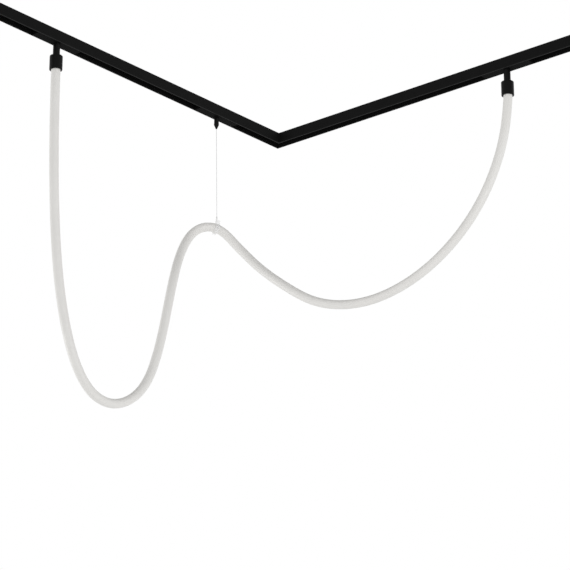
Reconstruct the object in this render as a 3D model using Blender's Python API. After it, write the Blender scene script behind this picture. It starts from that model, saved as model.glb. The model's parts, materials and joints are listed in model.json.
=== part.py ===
"""An L-shaped magnetic track light with one flexible light tube hung from it.

Metres, +Z up. The origin is on the ceiling face, where the centre lines of the two arms cross.
The left arm runs along +X and the right arm along +Y. Everything hangs below Z = 0.
Each arm's parts are modelled along +X and turned into place by that arm's empty.
"""

import math

import bmesh
import bpy
import numpy as np
from mathutils import Matrix, Vector

# Driving dimensions
GAP = 0.0003  # clearance between touching pieces
CUT_PAST = 0.002  # cutters reach this far past the faces they cut

TRACK_WIDTH = 0.026
TRACK_HEIGHT = 0.0255
TRACK_WALL = 0.003
TRACK_BASE = 0.0025
TRACK_LENGTH = 1.0
CORNER_REACH = 0.087  # from the crossing of the centre lines to each end of the corner piece
EDGE_CHAMFER = 0.0006

KEEPER_WIDTH = 0.009
KEEPER_THICK = 0.001
CARRIER_INNER = 0.0048  # the carrier's inner and outer edge, from the slot's middle
CARRIER_OUTER = 0.0097
CARRIER_HEIGHT = 0.0036
CARRIER_WEB = 0.0006  # the thin web over the keeper strip, which joins the carrier's two ribs
CONDUCTOR_LINE = 0.0064  # from the slot's middle to each conductor's middle
CONDUCTOR_WIDTH = 0.0018
CONDUCTOR_THICK = 0.0006
CONDUCTOR_OVERRUN = 0.020  # the corner's conductors run this far into the arms
CONDUCTOR_SETBACK = 0.008  # and the arms' own stop this far from the track's end
SPLICE_HALF = 0.030
SPLICE_WIDTH = 0.0084
SPLICE_THICK = 0.001

END_CAP_THICK = 0.002
END_CAP_CHAMFER = 0.001
TONGUE_LENGTH = 0.006  # how far an end cap plugs into the slot
TONGUE_LIFT = 0.003  # above the slot's mouth

FIXING_HOLE_RADIUS = 0.00225
FIXING_HOLES = (0.160, 0.560, 0.960)  # along each arm
FEED_HOLE_RADIUS = 0.004
FEED_START = 1.020
FEED_LENGTH = 0.055
FEED_ROOM = 0.0012  # between the feed box and the conductors above it
KEEPER_SETBACK = 0.004  # between the keeper strips and the feed box
TERMINAL_START = 0.006  # from the feed box's near end
TERMINAL_LENGTH = 0.012
TERMINAL_INNER = 0.0015  # each terminal's edges, from the slot's middle
TERMINAL_OUTER = 0.0075
TERMINAL_DROP = 0.004  # from the feed box's rim down to the terminals

ADAPTER_LENGTH = 0.126
ADAPTER_WIDTH = 0.0194
ADAPTER_WALL = 0.0015
ADAPTER_FLOOR = 0.002
LID_BOTTOM = -0.009
LID_THICK = 0.002
MAGNET_SIZE = (0.020, 0.008, 0.0028)
MAGNET_OFFSET = 0.047
POCKET_DEPTH = 0.0012

PIN_OFFSET = 0.026  # from an adapter's middle to its contacts
PIN_RADIUS = 0.0008
PIN_POINT = 0.0004  # the radius and the height of a contact's point
PIN_FLANGE_RADIUS = 0.0013
PIN_FLANGE_THICK = 0.0008
PIN_TAIL_RADIUS = 0.0005
PIN_TAIL = 0.004
PIN_HOLE_RADIUS = 0.0011

BOARD_START = -0.058  # from the adapter's middle
BOARD_END = -0.012
BOARD_HALF = 0.007
BOARD_THICK = 0.0016
BOARD_LIFT = 0.004  # above the housing's floor
# Start, end, half width, bottom and top of what the board carries, with heights from the board's underside
BOARD_PARTS = (
    (-0.052, -0.042, 0.0045, 0.0010, 0.0065),  # converter coil
    (-0.036, -0.030, 0.0025, 0.0010, 0.0030),  # capacitor
    (-0.054, -0.052, 0.0060, -0.0037, 0.0010),  # foot
    (-0.018, -0.016, 0.0060, -0.0037, 0.0010),  # foot
)

LEFT_ADAPTER = 0.7285  # along the left arm
HANGER = 0.218  # along the left arm
RIGHT_ADAPTER = 0.6561  # along the right arm

STEM_RADIUS = 0.0075
STEM_LENGTH = 0.0294
SPIGOT_RADIUS = 0.0045
SPIGOT_RISE = 0.0045  # above the housing's floor
SPIGOT_DROP = 0.001  # below the ceiling of the tube cap
STEM_BORE = 0.0025
NUT_HEIGHT = 0.003
STEM_NUT_HALF = 0.0065  # from a nut's middle to its flats
GRIPPER_NUT_HALF = 0.006

CAP_RADIUS = 0.014
CAP_HEIGHT = 0.0322
CAP_TOP_WALL = 0.005
CAP_BORE = 0.0105
CAP_TOP_ROUND = 0.0014
CAP_BOTTOM_ROUND = 0.001
GRUB_RADIUS = 0.0015
GRUB_HEIGHT = 0.008  # above the cap's rim
GRUB_SUNK = 0.0008  # below the cap's side

PLUG_EDGE = 0.0025  # heights above the tube's end
PLUG_SHOULDER = 0.0035
PLUG_HEIGHT = 0.0045
PLUG_BOSS_RADIUS = 0.004

LEAD_RADIUS = 0.0014
LEAD_POINTS = 12
# The lead's way from the board to the stem's bore: along the housing, and above the housing's floor
LEAD_BEND = (
    (-0.0120, 0.0073),
    (-0.0070, 0.0085),
    (-0.0030, 0.0078),
    (-0.0006, 0.0048),
    (0.0000, 0.0013),
    (0.0000, -0.0127),
)

TUBE_RADIUS = 0.010
TUBE_STEP = 0.045
TUBE_GRIP = 0.016  # the length of tube held straight at each end by its cap
STEP_GROWTH = 1.15  # from one step to the next, going away from the clip
CURVE_SAMPLES = 4000

CLIP_STEP = 0.008  # the tube stays straight this far each way from the clip's middle
CLIP_POSITION = Vector((0.2126, -0.0024, -0.2956))
CLIP_LENGTH = 0.009
CLIP_INNER = 0.0112
CLIP_OUTER = 0.0128
CLIP_SLOPE = -0.2  # the clip hangs nearer level than the tube
NECK_HALF = 0.0050
NECK_TOP = 0.0205  # above the clip's middle
NECK_ROUND = 0.0025
LIP_ANGLE = math.radians(38)  # half of the clip's opening, at the bottom
LIP_REACH = 0.0024
LIP_FLARE = math.radians(7)  # how far the lip's inner and outer edges turn in
LIP_BLUNT = math.radians(1)

HANGER_NECK = 0.004
HANGER_BORE = 0.0012
GRIPPER_RADIUS = 0.0054
GRIPPER_LENGTH = 0.020
GRIPPER_NOSE = 0.0055
GRIPPER_NOSE_RADIUS = 0.0032
GRIPPER_BEVEL = 0.0004
GRIPPER_GROOVE = 0.0008
COLLAR_RADIUS = 0.0058
COLLAR_HEIGHT = 0.004
CHAMBER_RADIUS = 0.0037
CHAMBER_TOP = -0.029
CHAMBER_TAPER = 0.002
PLUNGER_RADIUS = 0.0022
PLUNGER_TIP_RADIUS = 0.0015
PLUNGER_TIP_TAPER = 0.0012
PLUNGER_FLANGE_RADIUS = 0.0033
PLUNGER_TOP = -0.037
PLUNGER_FLARE_TOP = -0.040
PLUNGER_FLARE_BOTTOM = -0.042
PLUNGER_TIP = -0.0545
SPRING_RADIUS = 0.003
SPRING_WIRE = 0.0003
SPRING_ROOM = 0.0006  # between the coil's centre line and the faces at its ends
SPRING_TURNS = 5
TURN_POINTS = 12

WIRE_RADIUS = 0.0005
WIRE_BORE = 0.001
WIRE_TAIL = 0.009  # above the housing's floor
WIRE_SUNK = 0.003  # into the clip's neck
WIRE_SHIFT = -0.0025  # along the clip, from its middle to the wire
WIRE_STEPS = 6  # from the gripper down to the clip
CRIMP_ROOM = 0.0006  # above the clip's sloping top
CRIMP_HEIGHT = 0.008
CRIMP_RADIUS = 0.002

# The light tube's centre line, from the left cap round the deep loop, over the clip and to the right cap
TUBE_ROUTE = (
    (0.7285, 0.0000, -0.0740),
    (0.7285, 0.0000, -0.0900),
    (0.7240, 0.0000, -0.3000),
    (0.7140, 0.0000, -0.4400),
    (0.6820, 0.0000, -0.6220),
    (0.6600, 0.0000, -0.6850),
    (0.6225, 0.0000, -0.7465),
    (0.5895, 0.0000, -0.7725),
    (0.5500, 0.0000, -0.7820),
    (0.4590, 0.0000, -0.7435),
    (0.4245, 0.0000, -0.6990),
    (0.4050, 0.0000, -0.6550),
    (0.3845, 0.0000, -0.5880),
    (0.3635, -0.0020, -0.5070),
    (0.3410, -0.0080, -0.4400),
    (0.3195, -0.0175, -0.3990),
    (0.2945, -0.0265, -0.3590),
    (0.2695, -0.0290, -0.3240),
    (0.2440, -0.0210, -0.3000),
    (0.2170, -0.0050, -0.2945),
    (0.1940, 0.0090, -0.3070),
    (0.1775, 0.0245, -0.3305),
    (0.1670, 0.0440, -0.3555),
    (0.1615, 0.0680, -0.3820),
    (0.1590, 0.1040, -0.4150),
    (0.1550, 0.1590, -0.4585),
    (0.1390, 0.2250, -0.5010),
    (0.1040, 0.3330, -0.5175),
    (0.0820, 0.4020, -0.4995),
    (0.0620, 0.4640, -0.4655),
    (0.0450, 0.5180, -0.4205),
    (0.0180, 0.6015, -0.3040),
    (0.0095, 0.6302, -0.2355),
    (0.0030, 0.6485, -0.1605),
    (0.0004, 0.6547, -0.1080),
    (0.0000, 0.6561, -0.0900),
    (0.0000, 0.6561, -0.0740),
)

# Heights worked out from the driving dimensions
SLOT_HALF = TRACK_WIDTH / 2 - TRACK_WALL
MOUTH = -TRACK_HEIGHT
CARRIER_TOP = -TRACK_BASE - GAP
CARRIER_BOTTOM = CARRIER_TOP - CARRIER_HEIGHT
KEEPER_TOP = CARRIER_TOP - CARRIER_WEB - GAP
KEEPER_BOTTOM = KEEPER_TOP - KEEPER_THICK
LID_TOP = LID_BOTTOM + LID_THICK
FLOOR_TOP = MOUTH + ADAPTER_FLOOR
STEM_TOP = MOUTH - GAP
STEM_END = MOUTH - STEM_LENGTH
CAP_TOP = STEM_END - GAP
CAP_BOTTOM = CAP_TOP - CAP_HEIGHT
CAP_CEILING = CAP_TOP - CAP_TOP_WALL
TUBE_TOP = TUBE_ROUTE[0][2]
TRACK_START = CORNER_REACH + GAP
TRACK_END = TRACK_START + TRACK_LENGTH

SMALL_SIDES = 16
HOLE_SIDES = 24
ROUND_SIDES = 32
FINE_SIDES = 48
CLIP_ARC_POINTS = 16
CLIP_BORE_POINTS = 33
ROUND_POINTS = 4

# A conductor towards the inside of the L is inner, and the other is outer
SIDES = (("inner", 1), ("outer", -1))


# Materials
def material(name, color, roughness, metallic=0.0, alpha=1.0):
    made = bpy.data.materials.new(name)
    made.use_nodes = True
    shader = made.node_tree.nodes["Principled BSDF"]
    shader.inputs["Base Color"].default_value = (*color, 1.0)
    shader.inputs["Roughness"].default_value = roughness
    shader.inputs["Metallic"].default_value = metallic
    shader.inputs["Alpha"].default_value = alpha
    return made


def make_materials():
    return {
        "black_aluminium": material("black_aluminium", (0.012, 0.012, 0.013), 0.5, 0.3),
        "black_plastic": material("black_plastic", (0.010, 0.010, 0.010), 0.55),
        "black_metal": material("black_metal", (0.014, 0.014, 0.015), 0.42, 0.4),
        "insulator": material("insulator", (0.03, 0.03, 0.032), 0.6),
        "copper": material("copper", (0.80, 0.43, 0.25), 0.3, 1.0),
        "steel": material("steel", (0.60, 0.60, 0.61), 0.35, 1.0),
        "magnet": material("magnet", (0.55, 0.55, 0.56), 0.25, 1.0),
        "brass": material("brass", (0.75, 0.58, 0.28), 0.3, 1.0),
        "board": material("board", (0.03, 0.16, 0.07), 0.5),
        "lead_sheath": material("lead_sheath", (0.70, 0.70, 0.68), 0.5),
        "silicone": material("silicone", (0.78, 0.77, 0.74), 0.45),
        "clear_plastic": material("clear_plastic", (0.85, 0.86, 0.86), 0.15, 0.0, 0.4),
        "wire_steel": material("wire_steel", (0.75, 0.75, 0.76), 0.3, 1.0),
    }


# Small tools
def empty(name, parent=None, location=(0, 0, 0), turn=0.0):
    made = bpy.data.objects.new(name, None)
    bpy.context.collection.objects.link(made)
    made.parent = parent
    made.location = location
    made.rotation_euler = (0, 0, turn)
    return made


def add_object(name, bm, finish=None, parent=None, smooth=False):
    """Turns a bmesh into a named object with outward faces."""
    bmesh.ops.recalc_face_normals(bm, faces=bm.faces)
    mesh = bpy.data.meshes.new(name)
    bm.to_mesh(mesh)
    bm.free()
    if smooth:
        mesh.shade_smooth()
        mesh.set_sharp_from_angle(angle=math.radians(35))
    made = bpy.data.objects.new(name, mesh)
    bpy.context.collection.objects.link(made)
    made.parent = parent
    if finish is not None:
        mesh.materials.append(finish)
    return made


def fill_box(bm, low, high):
    """Adds a box between two corners."""
    x, y, z = ((a, b) for a, b in zip(low, high))
    v = [bm.verts.new((x[i], y[j], z[k])) for i in (0, 1) for j in (0, 1) for k in (0, 1)]
    for face in ((0, 1, 3, 2), (4, 6, 7, 5), (0, 4, 5, 1), (2, 3, 7, 6), (0, 2, 6, 4), (1, 5, 7, 3)):
        bm.faces.new([v[i] for i in face])


def fill_prism(bm, rings):
    """Joins rings of equal length into one closed solid."""
    loops = [[bm.verts.new(point) for point in ring] for ring in rings]
    for a, b in zip(loops, loops[1:]):
        for i in range(len(a)):
            j = (i + 1) % len(a)
            bm.faces.new((a[i], a[j], b[j], b[i]))
    bm.faces.new(loops[0])
    bm.faces.new(loops[-1])


def fill_turned(bm, profile, place=Matrix.Identity(4), sides=ROUND_SIDES):
    """Turns a closed outline of (radius, height) points about Z, then places it. Radius 0 is on the axis."""
    rows = []
    for radius, height in profile:
        if radius == 0:
            rows.append([bm.verts.new(place @ Vector((0, 0, height)))] * sides)
            continue
        angles = [2 * math.pi * i / sides for i in range(sides)]
        ring = [Vector((radius * math.cos(a), radius * math.sin(a), height)) for a in angles]
        rows.append([bm.verts.new(place @ point) for point in ring])
    for a, b in zip(rows, rows[1:] + rows[:1]):
        if a[0] is a[1] and b[0] is b[1]:
            continue
        for i in range(sides):
            j = (i + 1) % sides
            corners = list(dict.fromkeys((a[i], a[j], b[j], b[i])))
            bm.faces.new(corners)


def solid(name, finish, parent, *boxes):
    bm = bmesh.new()
    for low, high in boxes:
        fill_box(bm, low, high)
    return add_object(name, bm, finish, parent)


def turned(name, finish, parent, profile, place=Matrix.Identity(4), sides=ROUND_SIDES):
    bm = bmesh.new()
    fill_turned(bm, profile, place, sides)
    return add_object(name, bm, finish, parent, smooth=True)


def disc_profile(radius, bottom, top):
    return [(0, bottom), (radius, bottom), (radius, top), (0, top)]


def ring_profile(inner, outer, bottom, top):
    return [(inner, bottom), (outer, bottom), (outer, top), (inner, top)]


def boolean(target, other, operation):
    """Cuts or joins with a helper object, which is hidden from the model."""
    other.hide_render = True
    other.display_type = "WIRE"
    step = target.modifiers.new(operation.title(), "BOOLEAN")
    step.operation = operation
    step.object = other
    step.solver = "EXACT"


def cut(target, fill, parent):
    """Takes away what fill draws into a new mesh."""
    bm = bmesh.new()
    fill(bm)
    boolean(target, add_object(target.name + "_cutter", bm, None, parent), "DIFFERENCE")


def moved(x=0.0, y=0.0, z=0.0):
    return Matrix.Translation((x, y, z))


# A smooth curve through points chosen by hand
def smooth_curve(route):
    """Returns the curve's position at a chord length, and its last chord length. Its ends have no bend."""
    points = np.array(route)
    knots = np.concatenate(([0.0], np.cumsum(np.linalg.norm(np.diff(points, axis=0), axis=1))))
    count = len(points)
    step = np.diff(knots)
    slope = np.diff(points, axis=0) / step[:, None]
    system = np.eye(count)
    target = np.zeros((count, 3))
    for i in range(1, count - 1):
        system[i, i - 1 : i + 2] = step[i - 1], 2 * (step[i - 1] + step[i]), step[i]
        target[i] = 6 * (slope[i] - slope[i - 1])
    bend = np.linalg.solve(system, target)

    def position(t):
        i = int(np.clip(np.searchsorted(knots, t) - 1, 0, count - 2))
        a = knots[i + 1] - t
        b = t - knots[i]
        h = step[i]
        ends = (a * points[i] + b * points[i + 1]) / h
        sag = (a**3 / h - a * h) * bend[i] + (b**3 / h - b * h) * bend[i + 1]
        return Vector(ends + sag / 6)

    return position, float(knots[-1])


def tube_points():
    """Points along the tube, close together at the clip, where it bends most. Also how many lead up to it."""
    position, length = smooth_curve(TUBE_ROUTE)
    fine = np.linspace(0, length, CURVE_SAMPLES)
    clip_at = min(fine, key=lambda t: (position(t) - CLIP_POSITION).length)

    def walk(reach):
        steps = [CLIP_STEP]
        stride = 2 * CLIP_STEP
        mouth = reach - TUBE_GRIP
        while steps[-1] + 1.5 * stride < mouth:
            steps.append(steps[-1] + stride)
            stride = min(TUBE_STEP, stride * STEP_GROWTH)
        return [*steps, mouth, reach]

    before = [clip_at - d for d in reversed(walk(clip_at))]
    after = [clip_at + d for d in walk(length - clip_at)]
    points = [position(t) for t in before + after]
    return points, len(before)


def cord(name, finish, points, radius, resolution):
    """A round cord or tube with closed ends along straight runs between close points."""
    data = bpy.data.curves.new(name, "CURVE")
    data.dimensions = "3D"
    data.bevel_depth = radius
    data.bevel_resolution = resolution
    data.use_fill_caps = True
    line = data.splines.new("POLY")
    line.points.add(len(points) - 1)
    for place, point in zip(line.points, points):
        place.co = (*point, 1.0)
    data.materials.append(finish)
    made = bpy.data.objects.new(name, data)
    bpy.context.collection.objects.link(made)
    return made


# Track sections, as outlines of (across, height) points
def channel_outline():
    half = TRACK_WIDTH / 2
    c = EDGE_CHAMFER
    right = [
        (half - c, 0.0),
        (half, -c),
        (half, MOUTH + c),
        (half - c, MOUTH),
        (SLOT_HALF + c / 2, MOUTH),
        (SLOT_HALF, MOUTH + c / 2),
        (SLOT_HALF, -TRACK_BASE),
    ]
    return right + [(-a, z) for a, z in reversed(right)]


def strip_outline(inner, outer, bottom, top):
    return [(inner, top), (outer, top), (outer, bottom), (inner, bottom)]


def carrier_outline():
    """The insulator: a thin web with a rib at each side, and a groove in each rib for its conductor."""
    groove = CONDUCTOR_WIDTH / 2 + GAP
    groove_top = CARRIER_BOTTOM + CONDUCTOR_THICK + GAP
    right = [
        (CARRIER_OUTER, CARRIER_TOP),
        (CARRIER_OUTER, CARRIER_BOTTOM),
        (CONDUCTOR_LINE + groove, CARRIER_BOTTOM),
        (CONDUCTOR_LINE + groove, groove_top),
        (CONDUCTOR_LINE - groove, groove_top),
        (CONDUCTOR_LINE - groove, CARRIER_BOTTOM),
        (CARRIER_INNER, CARRIER_BOTTOM),
        (CARRIER_INNER, CARRIER_TOP - CARRIER_WEB),
    ]
    return right + [(-a, z) for a, z in reversed(right)]


def conductor_outline(side):
    low = CONDUCTOR_LINE - CONDUCTOR_WIDTH / 2
    high = CONDUCTOR_LINE + CONDUCTOR_WIDTH / 2
    top = CARRIER_BOTTOM + CONDUCTOR_THICK
    return [(side * a, z) for a, z in strip_outline(low, high, CARRIER_BOTTOM, top)]


def keeper_outline():
    return strip_outline(-KEEPER_WIDTH / 2, KEEPER_WIDTH / 2, KEEPER_BOTTOM, KEEPER_TOP)


def straight(name, finish, parent, outline, start, end):
    """Extrudes an outline along an arm."""
    bm = bmesh.new()
    fill_prism(bm, [[(s, a, z) for a, z in outline] for s in (start, end)])
    return add_object(name, bm, finish, parent)


def cornered(name, finish, outline, reach):
    """Runs an outline round the mitred corner, from the left arm into the right arm."""
    bm = bmesh.new()
    rings = [
        [(reach, a, z) for a, z in outline],
        [(a, a, z) for a, z in outline],
        [(a, reach, z) for a, z in outline],
    ]
    fill_prism(bm, rings)
    return add_object(name, bm, finish)


def hole_cutter(places, radius):
    """Fills round holes through the roof of the track, at places along an arm."""

    def fill(bm):
        for s in places:
            profile = disc_profile(radius, CARRIER_BOTTOM - CUT_PAST, CUT_PAST)
            fill_turned(bm, profile, moved(s), HOLE_SIDES)

    return fill


# The track
def make_corner(m):
    cornered("corner_track", m["black_aluminium"], channel_outline(), CORNER_REACH)
    cornered("corner_carrier", m["insulator"], carrier_outline(), CORNER_REACH)
    cornered("corner_keeper_strip", m["steel"], keeper_outline(), CORNER_REACH)
    for word, across in SIDES:
        name = f"corner_{word}_conductor"
        reach = CORNER_REACH + CONDUCTOR_OVERRUN
        cornered(name, m["copper"], conductor_outline(across), reach)


def make_splice(side, arm, m):
    """The steel plate that ties an arm to the corner, below the keeper strips."""
    top = KEEPER_BOTTOM - GAP
    seam = CORNER_REACH + GAP / 2
    low = (seam - SPLICE_HALF, -SPLICE_WIDTH / 2, top - SPLICE_THICK)
    high = (seam + SPLICE_HALF, SPLICE_WIDTH / 2, top)
    solid(f"{side}_splice_plate", m["steel"], arm, (low, high))


def make_arm_track(side, arm, inward, m):
    """An arm's extrusion and what lies in its roof. inward is 1 where the inside of the L is across = +1."""
    start = TRACK_START
    track = straight(f"{side}_track", m["black_aluminium"], arm, channel_outline(), start, TRACK_END)
    carrier = straight(f"{side}_carrier", m["insulator"], arm, carrier_outline(), start, TRACK_END)
    keeper_end = FEED_START - KEEPER_SETBACK
    keeper = straight(f"{side}_keeper_strip", m["steel"], arm, keeper_outline(), start, keeper_end)
    holes = hole_cutter(FIXING_HOLES, FIXING_HOLE_RADIUS)
    for piece in (track, carrier, keeper):
        cut(piece, holes, arm)
    for word, across in SIDES:
        outline = conductor_outline(across * inward)
        name = f"{side}_{word}_conductor"
        ends = (start + CONDUCTOR_OVERRUN, TRACK_END - CONDUCTOR_SETBACK)
        straight(name, m["copper"], arm, outline, *ends)
    make_end_cap(side, arm, m)
    make_splice(side, arm, m)
    return track, carrier


def make_end_cap(side, arm, m):
    """A plate over the track's end, with a tongue that plugs into the slot."""
    start = TRACK_END + GAP
    half = TRACK_WIDTH / 2
    c = END_CAP_CHAMFER
    outline = [(half - c, 0.0), (half, -c), (half, MOUTH + c), (half - c, MOUTH)]
    outline += [(-a, z) for a, z in reversed(outline)]
    name = f"{side}_end_cap"
    cap = straight(name, m["black_plastic"], arm, outline, start, start + END_CAP_THICK)
    tongue_half = SLOT_HALF - GAP
    low = (TRACK_END - TONGUE_LENGTH, -tongue_half, MOUTH + TONGUE_LIFT)
    high = (start + END_CAP_THICK / 2, tongue_half, CARRIER_BOTTOM - GAP)
    boolean(cap, solid(name + "_tongue", None, arm, (low, high)), "UNION")


def make_tray(name, parent, start, length, top, m):
    """An open box in the slot, flush with the track's mouth."""
    half = ADAPTER_WIDTH / 2
    wall = ADAPTER_WALL
    end = start + length
    tray = solid(name, m["black_plastic"], parent, ((start, -half, MOUTH), (end, half, top)))

    def hollow(bm):
        fill_box(bm, (start + wall, -half + wall, FLOOR_TOP), (end - wall, half - wall, top + CUT_PAST))

    cut(tray, hollow, parent)
    return tray


def make_feed(arm, pierced, m):
    """The terminal box at the end of the left arm, where the supply comes in through the track's roof."""
    middle = FEED_START + FEED_LENGTH / 2
    for piece in pierced:
        cut(piece, hole_cutter([middle], FEED_HOLE_RADIUS), arm)
    top = CARRIER_BOTTOM - FEED_ROOM
    make_tray("feed_box", arm, FEED_START, FEED_LENGTH, top, m)
    start = FEED_START + TERMINAL_START
    for word, across in SIDES:
        near, far = sorted((across * TERMINAL_INNER, across * TERMINAL_OUTER))
        low = (start, near, FLOOR_TOP + GAP)
        high = (start + TERMINAL_LENGTH, far, top - TERMINAL_DROP)
        solid(f"feed_{word}_terminal", m["brass"], arm, (low, high))


# The adapters that clip into the slot
def make_housing(name, parent, neck_radius, m):
    """An open tray with a hole for what hangs from it."""
    top = LID_BOTTOM - GAP
    tray = make_tray(f"{name}_housing", parent, -ADAPTER_LENGTH / 2, ADAPTER_LENGTH, top, m)
    neck = disc_profile(neck_radius + GAP, MOUTH - CUT_PAST, FLOOR_TOP + CUT_PAST)
    cut(tray, lambda bm: fill_turned(bm, neck), parent)


def magnet_box(offset, spare, bottom, top):
    x, y, _ = MAGNET_SIZE
    low = (offset - x / 2 - spare, -y / 2 - spare, bottom)
    return low, (offset + x / 2 + spare, y / 2 + spare, top)


def make_lid(name, parent, pins, m):
    """The cover, with two pockets for the magnets and, on a powered adapter, two holes for its contacts."""
    length = ADAPTER_LENGTH / 2
    half = ADAPTER_WIDTH / 2
    box = ((-length, -half, LID_BOTTOM), (length, half, LID_TOP))
    lid = solid(f"{name}_lid", m["black_plastic"], parent, box)
    pocket = LID_TOP - POCKET_DEPTH

    def pockets(bm):
        for offset in (-MAGNET_OFFSET, MAGNET_OFFSET):
            fill_box(bm, *magnet_box(offset, GAP, pocket, LID_TOP + CUT_PAST))

    def holes(bm):
        profile = disc_profile(PIN_HOLE_RADIUS, LID_BOTTOM - CUT_PAST, LID_TOP + CUT_PAST)
        for across in (-CONDUCTOR_LINE, CONDUCTOR_LINE):
            fill_turned(bm, profile, moved(PIN_OFFSET, across), SMALL_SIDES)

    cut(lid, pockets, parent)
    if pins:
        cut(lid, holes, parent)
    bottom = pocket + GAP
    for word, offset in (("near", -MAGNET_OFFSET), ("far", MAGNET_OFFSET)):
        magnet = magnet_box(offset, 0.0, bottom, bottom + MAGNET_SIZE[2])
        solid(f"{name}_{word}_magnet", m["magnet"], parent, magnet)


def make_contacts(name, parent, inward, m):
    """Two sprung pins that press on the conductors."""
    tip = CARRIER_BOTTOM - GAP
    flange_top = LID_BOTTOM - GAP
    flange_bottom = flange_top - PIN_FLANGE_THICK
    tail = flange_bottom - PIN_TAIL
    profile = [
        (0, tail),
        (PIN_TAIL_RADIUS, tail),
        (PIN_TAIL_RADIUS, flange_bottom),
        (PIN_FLANGE_RADIUS, flange_bottom),
        (PIN_FLANGE_RADIUS, flange_top),
        (PIN_RADIUS, flange_top),
        (PIN_RADIUS, tip - PIN_POINT),
        (PIN_POINT, tip),
        (0, tip),
    ]
    for word, across in SIDES:
        place = moved(PIN_OFFSET, across * inward * CONDUCTOR_LINE)
        turned(f"{name}_{word}_contact", m["brass"], parent, profile, place, SMALL_SIDES)


def make_board(name, parent, m):
    """The driver board, standing on its two feet with its converter coil and capacitor on top."""
    bottom = FLOOR_TOP + BOARD_LIFT
    low = (BOARD_START, -BOARD_HALF, bottom)
    high = (BOARD_END, BOARD_HALF, bottom + BOARD_THICK)
    board = solid(f"{name}_driver_board", m["board"], parent, (low, high))
    boxes = [((a, -half, bottom + z), (b, half, bottom + top)) for a, b, half, z, top in BOARD_PARTS]
    boolean(board, solid(f"{name}_board_parts", None, parent, *boxes), "UNION")


def rounded_edge(radius, height, size, towards, outwards):
    """Points of a quarter-round edge between a flat end at height and the side at radius."""
    points = []
    for i in range(ROUND_POINTS):
        angle = math.pi / 2 * i / (ROUND_POINTS - 1)
        inset = size * (1 - math.sin(angle))
        rise = size * (1 - math.cos(angle))
        points.append((radius - inset, height + towards * rise))
    return points if outwards else points[::-1]


def fill_nut(bm, half, hole):
    """A six-sided nut with a round hole, on the housing's floor. half is from its middle to a flat."""
    rings = []
    bottom = FLOOR_TOP + GAP
    for z in (bottom, bottom + NUT_HEIGHT):
        outer = []
        inner = []
        for i in range(HOLE_SIDES):
            angle = 2 * math.pi * i / HOLE_SIDES
            reach = half / math.cos((angle + math.pi / 6) % (math.pi / 3) - math.pi / 6)
            outer.append(bm.verts.new((reach * math.cos(angle), reach * math.sin(angle), z)))
            inner.append(bm.verts.new((hole * math.cos(angle), hole * math.sin(angle), z)))
        rings.append((outer, inner))
    (low_out, low_in), (high_out, high_in) = rings
    for i in range(HOLE_SIDES):
        j = (i + 1) % HOLE_SIDES
        bm.faces.new((low_out[i], low_out[j], high_out[j], high_out[i]))
        bm.faces.new((low_in[j], low_in[i], high_in[i], high_in[j]))
        bm.faces.new((high_out[i], high_out[j], high_in[j], high_in[i]))
        bm.faces.new((low_out[j], low_out[i], low_in[i], low_in[j]))


def make_nut(name, parent, half, neck_radius, m):
    bm = bmesh.new()
    fill_nut(bm, half, neck_radius + GAP)
    add_object(name, bm, m["steel"], parent)


def make_stem(name, parent, m):
    """The hollow stem: a collar below the housing, a spigot up to its nut and one down into the tube cap."""
    top = FLOOR_TOP + SPIGOT_RISE
    bottom = CAP_CEILING - SPIGOT_DROP
    profile = [
        (STEM_BORE, bottom),
        (SPIGOT_RADIUS, bottom),
        (SPIGOT_RADIUS, STEM_END),
        (STEM_RADIUS, STEM_END),
        (STEM_RADIUS, STEM_TOP),
        (SPIGOT_RADIUS, STEM_TOP),
        (SPIGOT_RADIUS, top),
        (STEM_BORE, top),
    ]
    turned(f"{name}_stem", m["black_metal"], parent, profile)
    make_nut(f"{name}_stem_nut", parent, STEM_NUT_HALF, SPIGOT_RADIUS, m)


def make_tube_cap(name, parent, inward, m):
    """The cup that holds the tube's end, with its grub screw."""
    hole = SPIGOT_RADIUS + GAP
    profile = [(hole, CAP_CEILING), (CAP_BORE, CAP_CEILING), (CAP_BORE, CAP_BOTTOM)]
    profile += rounded_edge(CAP_RADIUS, CAP_BOTTOM, CAP_BOTTOM_ROUND, 1, True)
    profile += rounded_edge(CAP_RADIUS, CAP_TOP, CAP_TOP_ROUND, -1, False)
    profile += [(hole, CAP_TOP)]
    cap = turned(f"{name}_tube_cap", m["black_metal"], parent, profile, sides=FINE_SIDES)
    sideways = moved(z=CAP_BOTTOM + GRUB_HEIGHT) @ Matrix.Rotation(inward * math.pi / 2, 4, "X")
    thread = disc_profile(GRUB_RADIUS + GAP, CAP_BORE - CUT_PAST, CAP_RADIUS + CUT_PAST)
    cut(cap, lambda bm: fill_turned(bm, thread, sideways, SMALL_SIDES), parent)
    screw = disc_profile(GRUB_RADIUS, CAP_BORE + GAP, CAP_RADIUS - GRUB_SUNK)
    turned(f"{name}_cap_screw", m["steel"], parent, screw, sideways, SMALL_SIDES)


def make_tube_plug(name, parent, m):
    """The plug on the tube's end, with a boss towards its lead."""
    bottom = TUBE_TOP + GAP
    profile = [
        (0, bottom),
        (TUBE_RADIUS, bottom),
        (TUBE_RADIUS, bottom + PLUG_EDGE),
        (PLUG_BOSS_RADIUS, bottom + PLUG_SHOULDER),
        (PLUG_BOSS_RADIUS, bottom + PLUG_HEIGHT),
        (0, bottom + PLUG_HEIGHT),
    ]
    turned(f"{name}_tube_plug", m["lead_sheath"], parent, profile)


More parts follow.
